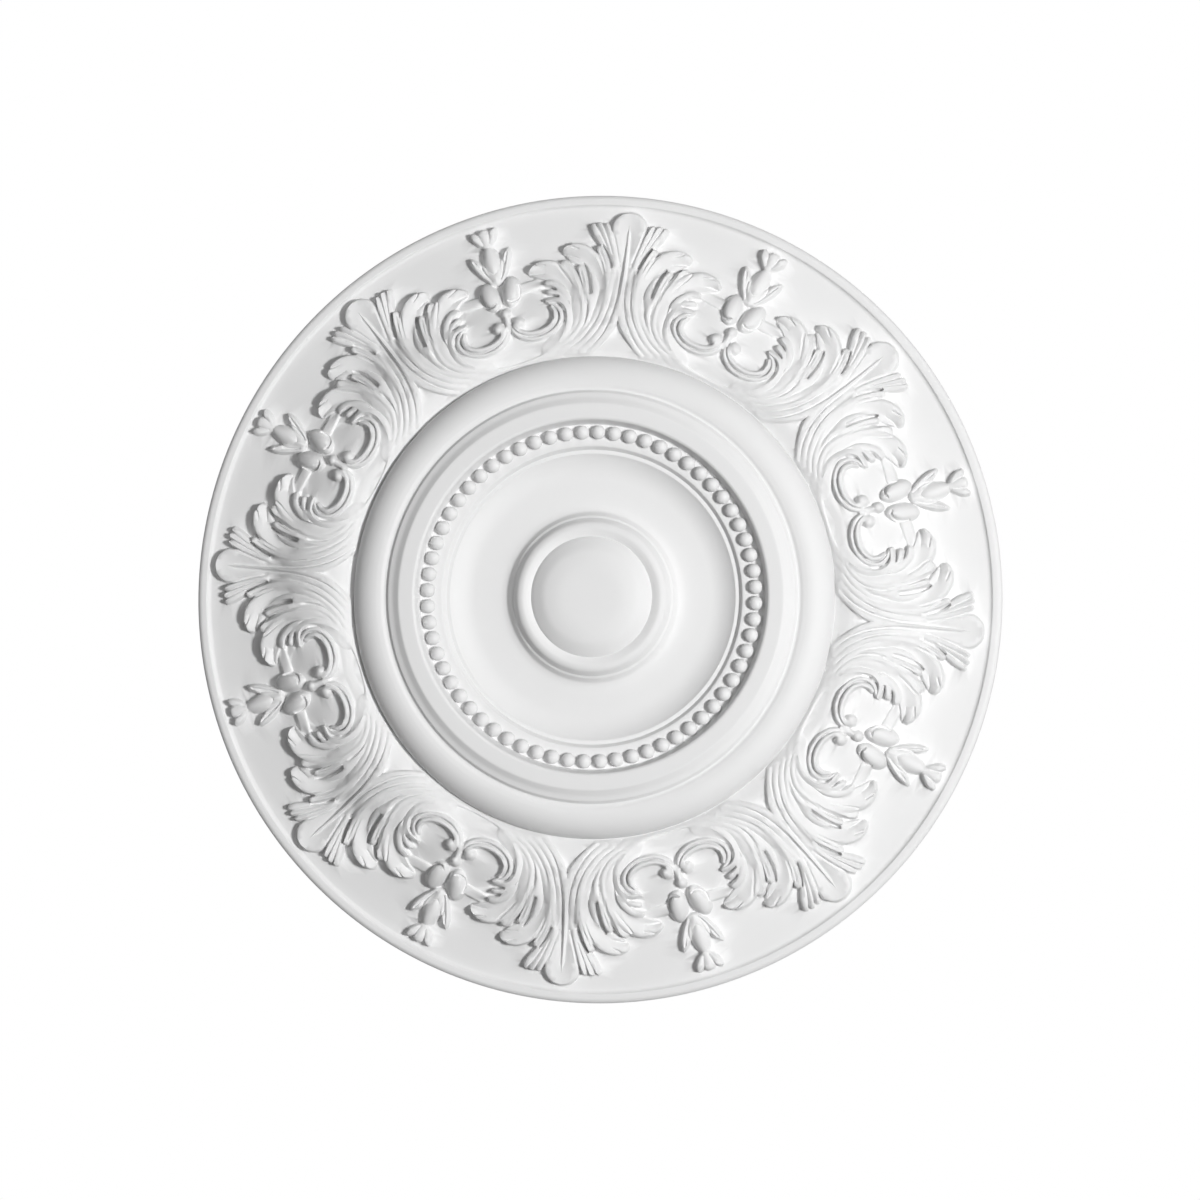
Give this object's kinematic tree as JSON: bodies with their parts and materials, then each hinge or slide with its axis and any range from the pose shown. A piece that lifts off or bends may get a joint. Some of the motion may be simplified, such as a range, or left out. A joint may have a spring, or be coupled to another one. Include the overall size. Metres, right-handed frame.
{
  "type": "ceiling rose",
  "caption": "Round moulded ceiling rose with a plain boss, a pearl ring, turned mouldings and a band of acanthus palmettes and flower pendants, fixed to a ceiling by its flat back.",
  "frame": {"origin": "centre of the flat back, where the rose meets the ceiling", "axes": "+Z out of the flat back into the ceiling, so the ornament hangs towards -Z; +X through the axis of one palmette"},
  "size_m": [0.47, 0.47, 0.046],
  "materials": {
    "primed_white_polyurethane": "matt white factory primer on moulded hard polyurethane foam"
  },
  "bodies": {
    "root": {"ceiling_rose": "primed_white_polyurethane"}
  },
  "joints": []
}
